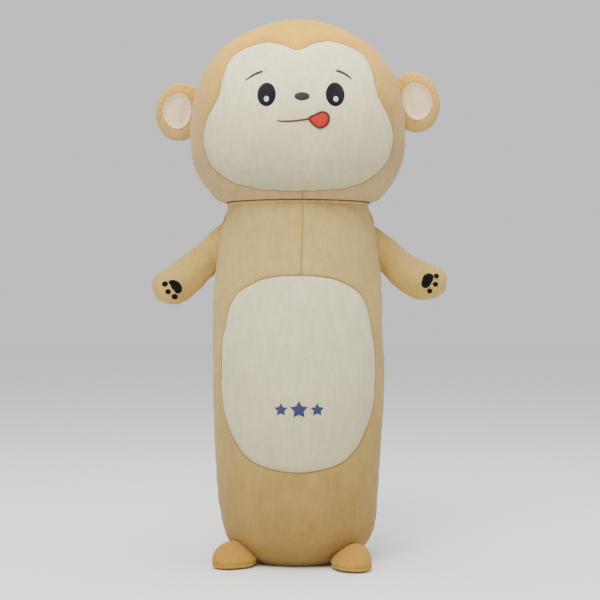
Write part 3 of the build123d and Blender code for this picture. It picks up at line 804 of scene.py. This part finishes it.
def make_ear(side):
    sign = SIDES[side]
    joint = JOINTS[f"ear_fold_{side}"]
    root = np.array(joint["pos_m"])
    along = np.array(joint["axis"]) * np.sign(joint["axis"][2])
    out = np.array([along[2], 0, -along[0]]) * sign
    size = EAR_SIZE[side]
    outline = smooth_loop(EAR_OUTLINE, 160) * size
    middle = np.array([EAR_MIDDLE, 0.0]) * size
    inner_loop = oval_loop(EAR_MIDDLE * size, 0.0, EAR_BOWL[0] * size, EAR_BOWL[1] * size, 160)
    inner_loop[:, 1] *= 1 - 0.10 * (inner_loop[:, 0] / size - EAR_MIDDLE) / EAR_BOWL[0]
    turn = np.unwrap(np.arctan2(outline[:, 1], outline[:, 0] - middle[0]))
    order = np.argsort(turn % (2 * math.pi))
    turn_at, reach_at = (turn % (2 * math.pi))[order], np.linalg.norm(outline - middle, axis=1)[order]

    def height_at(flat):
        """Half thickness of the stuffed ear at (u, v): a full rim round a shallow bowl."""
        away = flat - middle
        angle = np.arctan2(away[:, 1], away[:, 0]) % (2 * math.pi)
        share = np.linalg.norm(away, axis=1) / np.interp(angle, turn_at, reach_at, period=2 * math.pi)
        thin = np.clip((flat[:, 0] + 0.016) / 0.03, 0.3, 1.0)
        return EAR_DEPTH * thin * np.sqrt(np.clip(1 - share ** 3.2, 0, 1)), share, angle

    def bowl(flat):
        distance, inside = loop_distance(flat, inner_loop)
        depth_in = np.clip(distance / 0.009, 0, 1)
        return np.where(inside, 0.0052 * depth_in * (2 - depth_in), 0), distance, inside

    def place(flat, w):
        points = root + flat[:, :1] * out + flat[:, 1:] * along
        points[:, 1] += w
        return points

    pieces = {}
    shares = np.r_[np.linspace(0.01, 0.8, 26), np.linspace(0.83, 1.0, 12)]
    flat = np.array([middle + (outline - middle) * s for s in shares]).reshape(-1, 2)
    height, share, angle = height_at(flat)
    crimp = 0.0010 * np.sin(23 * angle) * np.clip(share, 0, 1) ** 4 * np.clip(1 - share, 0, 1) * 5
    faces = grid_faces(len(shares), len(outline))
    dip, distance, inside = bowl(flat)
    front = height + crimp - dip - np.where(inside, 0.0022 * np.clip(distance / 0.002, 0, 1), 0)
    front += groove(distance, 0.0012, 0.0028)
    for face, w in (("front", -front), ("back", height + crimp)):
        points = place(flat, w + 0.0005 * ripple(place(flat, 0), 0.03, 41))
        pieces[face] = make_mesh(f"ear_{face}_{side}_skin", points, faces, TAN_HEAD, "tan_plush")
    centre = inner_loop.mean(axis=0)
    shares = np.r_[np.linspace(0.01, 0.97, 24), 1.0, 1.04]
    flat = np.array([centre + (inner_loop - centre) * s for s in shares]).reshape(-1, 2)
    height, share, angle = height_at(flat)
    dip, distance, inside = bowl(flat)
    lift = np.where(inside, 0.0006, 0.0002 - 2.5 * distance)
    gather = 0.0005 * np.sin(19 * angle) * np.clip(1 - distance / 0.010, 0, 1)
    points = place(flat, -(height - dip + lift + gather) + 0.0005 * ripple(place(flat, 0), 0.03, 41))
    inner = make_mesh(f"ear_inner_{side}_skin", points, grid_faces(len(shares), len(inner_loop)), EAR_CREAM,
                      "cream_plush")
    pieces["inner"] = inner
    for face, piece in pieces.items():
        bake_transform(piece)
        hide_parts(f"ear_{face}_{side}")
    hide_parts(f"ear_fill_{side}")


# ---------------------------------------------------------------- arms
ARM_LENGTH, ARM_HALF, HAND_HALF, ARM_THICK = 0.1105, 0.0228, 0.0288, 0.82
ARM_DROOP = {"left": math.radians(40), "right": math.radians(34)}
ARM_SAG = {"left": 0.0045, "right": 0.0080}
# outline of each pad, middles of its toes, radius of a toe
PAWS = {
    "left": (
        [(-.1908, .4139), (-.1845, .4158), (-.1767, .4133), (-.1721, .4077), (-.1712, .4015),
         (-.1733, .3969), (-.1773, .3956), (-.1807, .3969), (-.1835, .4003), (-.1869, .4031),
         (-.1882, .4071), (-.1905, .4105)],
        [(-.1962, .4097), (-.1916, .3984), (-.1821, .3907)], .0046,
    ),
    "right": (
        [(.1826, .4134), (.1857, .4218), (.1937, .4255), (.1998, .4218), (.1979, .4134), (.1922, .4049),
         (.1851, .4044), (.1820, .4092)],
        [(.2045, .4216), (.2031, .4092), (.1948, .3990)], .0040,
    ),
}


def arm_half(s):
    """Half width of the arm at s from the root."""
    straight = ARM_HALF + (HAND_HALF - ARM_HALF) * np.clip(s / 0.080, 0, 1)
    cap = np.sqrt(np.clip(1 - (np.clip(s - 0.078, 0, 1) / (ARM_LENGTH - 0.078)) ** 2.2, 0, 1))
    return straight * cap


def make_arm(side):
    sign = SIDES[side]
    root = np.array(JOINTS[f"arm_raise_{side}"]["pos_m"])
    droop = ARM_DROOP[side]
    out = np.array([sign * math.cos(droop), 0, -math.sin(droop)])
    up = np.array([sign * math.sin(droop), 0, math.cos(droop)])
    ahead = np.array([0.0, 1.0, 0.0])

    def sag(s):
        return -ARM_SAG[side] * np.sin(math.pi * np.clip(s / 0.1, 0, 1))

    def thick(s):
        return ARM_THICK * arm_half(np.maximum(s, 0)) * (0.78 + 0.22 * np.clip(s / 0.05, 0, 1))

    def spot(s, high, deep):
        """Point of the arm at s along it, from shares of its half width and half thickness."""
        half = arm_half(np.maximum(s, 0))
        return (root + s[..., None] * out + (sag(s) + half * high)[..., None] * up
                + (thick(s) * deep)[..., None] * ahead)

    columns = 112
    angle = np.linspace(0, 2 * math.pi, columns, endpoint=False)
    square = 1 + 0.04 * np.cos(4 * angle)
    high, deep = np.cos(angle) * square, np.sin(angle) * square
    trial = np.linspace(0.05, -0.065, 300)
    paths = spot(np.repeat(trial[:, None], columns, axis=1), high[None], deep[None])
    outside = np.hypot(paths[..., 0], paths[..., 1]) > body_radius(paths[..., 2]) - 0.0016
    starts = trial[np.argmin(outside, axis=0)]
    along = np.r_[np.linspace(0, 0.74, 52), 0.74 + 0.2599 * np.sin(np.linspace(0.05, math.pi / 2, 26))]
    stations = starts[None] + (ARM_LENGTH - 0.0001 - starts[None]) * along[:, None]
    grid = spot(stations, high[None], deep[None])
    normals = grid_normals(grid).reshape(-1, 3)
    points, station = grid.reshape(-1, 3), stations.reshape(-1)
    middle = spot(station, np.zeros(len(station)), np.zeros(len(station)))
    normals *= np.sign(((points - middle) * normals).sum(axis=1).mean())
    gap = (stations - starts[None]).reshape(-1)
    seam = np.abs(points[:, 1])
    relief = 0.0007 * ripple(points, 0.055, 51) + groove(seam, 0.0015, 0.0040)
    relief += puckers(points, seam, 0.0005, 0.008, 0.014, 52)
    relief += puckers(points, gap - 0.008, 0.0012, 0.012, 0.020, 53)
    relief = relief * np.clip(gap / 0.006, 0, 1) * np.clip((ARM_LENGTH - station) / 0.004, 0, 1)
    points = points + normals * relief[:, None]
    faces = grid_faces(len(along), columns)
    if sign < 0:
        faces = [face[::-1] for face in faces]
    for face, wanted in (("front", lambda m: m[:, 1] < 0), ("back", lambda m: m[:, 1] >= 0)):
        half = keep_faces(points, faces, wanted)
        piece = make_mesh(f"arm_{face}_{side}_skin", *half, TAN_LIMB, "tan_plush")
        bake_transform(piece)
        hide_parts(f"arm_{face}_{side}")
        if face == "back":
            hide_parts(f"arm_fill_{side}", f"shoulder_fill_{side}")

    def on_palm(x, z, lift=0.0):
        """Point of the palm in front of (x, z), raised by lift."""
        x, z = np.asarray(x, float), np.asarray(z, float)
        flat = np.stack([x, 0 * x, z], axis=1) - root
        flat[:, 1] = 0
        s = flat @ out
        share = (flat @ up - sag(s)) / np.maximum(arm_half(s), 1e-4)
        depth = thick(s) * np.sqrt(np.clip(1 - share ** 2, 0.02, 1)) * 1.02
        spots = root + flat
        spots[:, 1] = -(depth + 0.0007 * ripple(spots, 0.055, 51) + lift)
        return spots

    pad, toes, toe_size = PAWS[side]
    embroider(f"paw_pad_{side}_stitching", smooth_loop(pad, 90), on_palm, PAW_BLACK, "black_thread",
              f"arm_{side}", [f"paw_pad_{side}"], height=0.0014, level=0.0015)
    for index, (x, z) in enumerate(toes):
        nodes = [f"paw_toes_{side}"] if index == 0 else []
        embroider(f"paw_toe_{side}_{index + 1}", oval_loop(x, z, toe_size, toe_size * 0.88, 36), on_palm,
                  PAW_BLACK, "black_thread", f"arm_{side}", nodes, height=0.0012, level=0.0013)


# ---------------------------------------------------------------- feet
# forward reach of the middle from the hinge, half length, half width
FEET = {"left": ((-.0135, -.0110), .0310, .0268), "right": ((.0070, -.0215), .0330, .0275)}


def make_foot(side):
    joint = JOINTS[f"foot_flex_{side}"]
    hinge = np.array(joint["pos_m"])
    forward, length, width = FEET[side]
    centre = np.array([hinge[0] + forward[0], hinge[1] + forward[1], 0])
    out = np.array([*forward, 0]) / math.hypot(*forward)
    inward = np.array([-out[1], out[0], 0])
    inward *= -np.sign(inward[0] * hinge[0])
    columns, seam_z = 120, 0.0078
    angle = np.linspace(0, 2 * math.pi, columns, endpoint=False)
    u, w = length * np.cos(angle), width * np.sin(angle)
    u = np.where(u < 0, u * 1.35, u)

    def ring(scale, high):
        flat = centre + scale * (u[:, None] * out + w[:, None] * inward)
        return flat + np.stack([0 * u, 0 * u, high], axis=1)

    upper, sole = [], []
    for phi in np.linspace(0, math.pi / 2, 36):
        scale = max(math.cos(phi), 0.004)
        top = 0.0335 - 0.0130 * scale * w / width - 0.0030 * scale * u / length
        upper.append(ring(scale, seam_z + (top - seam_z) * math.sin(phi) ** 0.92))
    for phi in np.linspace(0, math.pi / 2, 20):
        scale = max(math.cos(phi) ** 0.5, 0.004)
        sole.append(ring(scale * 0.995, 0 * u + seam_z - (seam_z - 0.0006) * math.sin(phi) ** 0.75))
    for name, rows in (("foot_upper", upper), ("foot_sole", sole)):
        points = np.array(rows)
        flat = points.reshape(-1, 3)
        away = flat - (centre + np.array([0, 0, seam_z]))
        away /= np.maximum(np.linalg.norm(away, axis=1, keepdims=True), 1e-6)
        seam = np.abs(flat[:, 2] - seam_z)
        relief = 0.0006 * ripple(flat, 0.035, 61) + groove(seam, 0.0017, 0.0018)
        relief += puckers(flat, seam, 0.0005, 0.008, 0.012, 62)
        flat = flat + away * relief[:, None]
        flat[:, 2] = np.maximum(flat[:, 2], 0.0004)
        faces = grid_faces(points.shape[0], columns)
        if (name == "foot_sole") != (np.cross(out, inward)[2] < 0):
            faces = [face[::-1] for face in faces]
        piece = make_mesh(f"{name}_{side}_skin", flat, faces, TAN_LIMB, "tan_plush")
        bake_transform(piece)
        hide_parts(f"{name}_{side}")
    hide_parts(f"foot_fill_{side}")


# ---------------------------------------------------------------- floor, light and camera
FLOOR_HALF = 9


def make_stage():
    material, _, _, shader = new_material("pale_floor")
    shader.inputs["Base Color"].default_value = linear(250, 250, 250)
    shader.inputs["Roughness"].default_value = 0.9
    mesh = bpy.data.meshes.new("floor")
    corners = [(x * FLOOR_HALF, y * FLOOR_HALF, 0) for x, y in ((-1, -1), (1, -1), (1, 1), (-1, 1))]
    mesh.from_pydata(corners, [], [(0, 1, 2, 3)])
    mesh.materials.append(material)
    floor = bpy.data.objects.new("floor", mesh)
    bpy.context.scene.collection.objects.link(floor)


def area_light(name, place, aim, size, power, colour=(1, 1, 1)):
    light = bpy.data.lights.new(name, "AREA")
    light.shape = "RECTANGLE"
    light.size, light.size_y = size
    light.energy = power
    light.color = colour
    lamp = bpy.data.objects.new(name, light)
    bpy.context.scene.collection.objects.link(lamp)
    lamp.location = place
    lamp.rotation_euler = (Vector(aim) - Vector(place)).to_track_quat("-Z", "Y").to_euler()


SENSOR, IMAGE = 36, 600    # sensor width in mm, side of the square view in pixels
CAMERA_DISTANCE, CAMERA_HEIGHT, CAMERA_X = 2.4, 0.400, 0.003
METRES_PER_PIXEL = 0.00149    # at the middle plane of the toy
CAMERA_ROW = 290.5    # row of the view that is level with the camera


def make_light_and_camera():
    world = bpy.data.worlds.new("studio")
    world.use_nodes = True
    world.node_tree.nodes["Background"].inputs["Color"].default_value = (1, 1, 1, 1)
    world.node_tree.nodes["Background"].inputs["Strength"].default_value = 0.80
    bpy.context.scene.world = world
    area_light("key", (-0.5, -2.0, 2.7), (0, 0, 0.50), (1.4, 1.4), 85, (1.0, 0.98, 0.94))
    area_light("fill", (1.8, -1.8, 1.2), (0, 0, 0.4), (1.8, 1.8), 3)
    area_light("top", (0.0, -0.1, 2.5), (0, 0, 0.5), (1.6, 1.6), 45)
    data = bpy.data.cameras.new("camera")
    data.sensor_width = SENSOR
    data.lens = SENSOR * CAMERA_DISTANCE / (IMAGE * METRES_PER_PIXEL)
    camera = bpy.data.objects.new("camera", data)
    bpy.context.scene.collection.objects.link(camera)
    camera.location = (CAMERA_X, -CAMERA_DISTANCE, CAMERA_HEIGHT)
    camera.rotation_euler = (math.radians(90), 0, 0)
    data.shift_y = -(IMAGE / 2 - CAMERA_ROW) / IMAGE
    bpy.context.scene.camera = camera


make_light_and_camera()
make_head()
make_face()
make_face_embroidery()
make_body()
make_belly()
make_base()
make_badge()
make_closing_stitches()
make_neck()
for name in SIDES:
    make_ear(name)
    make_arm(name)
    make_foot(name)
make_stage()
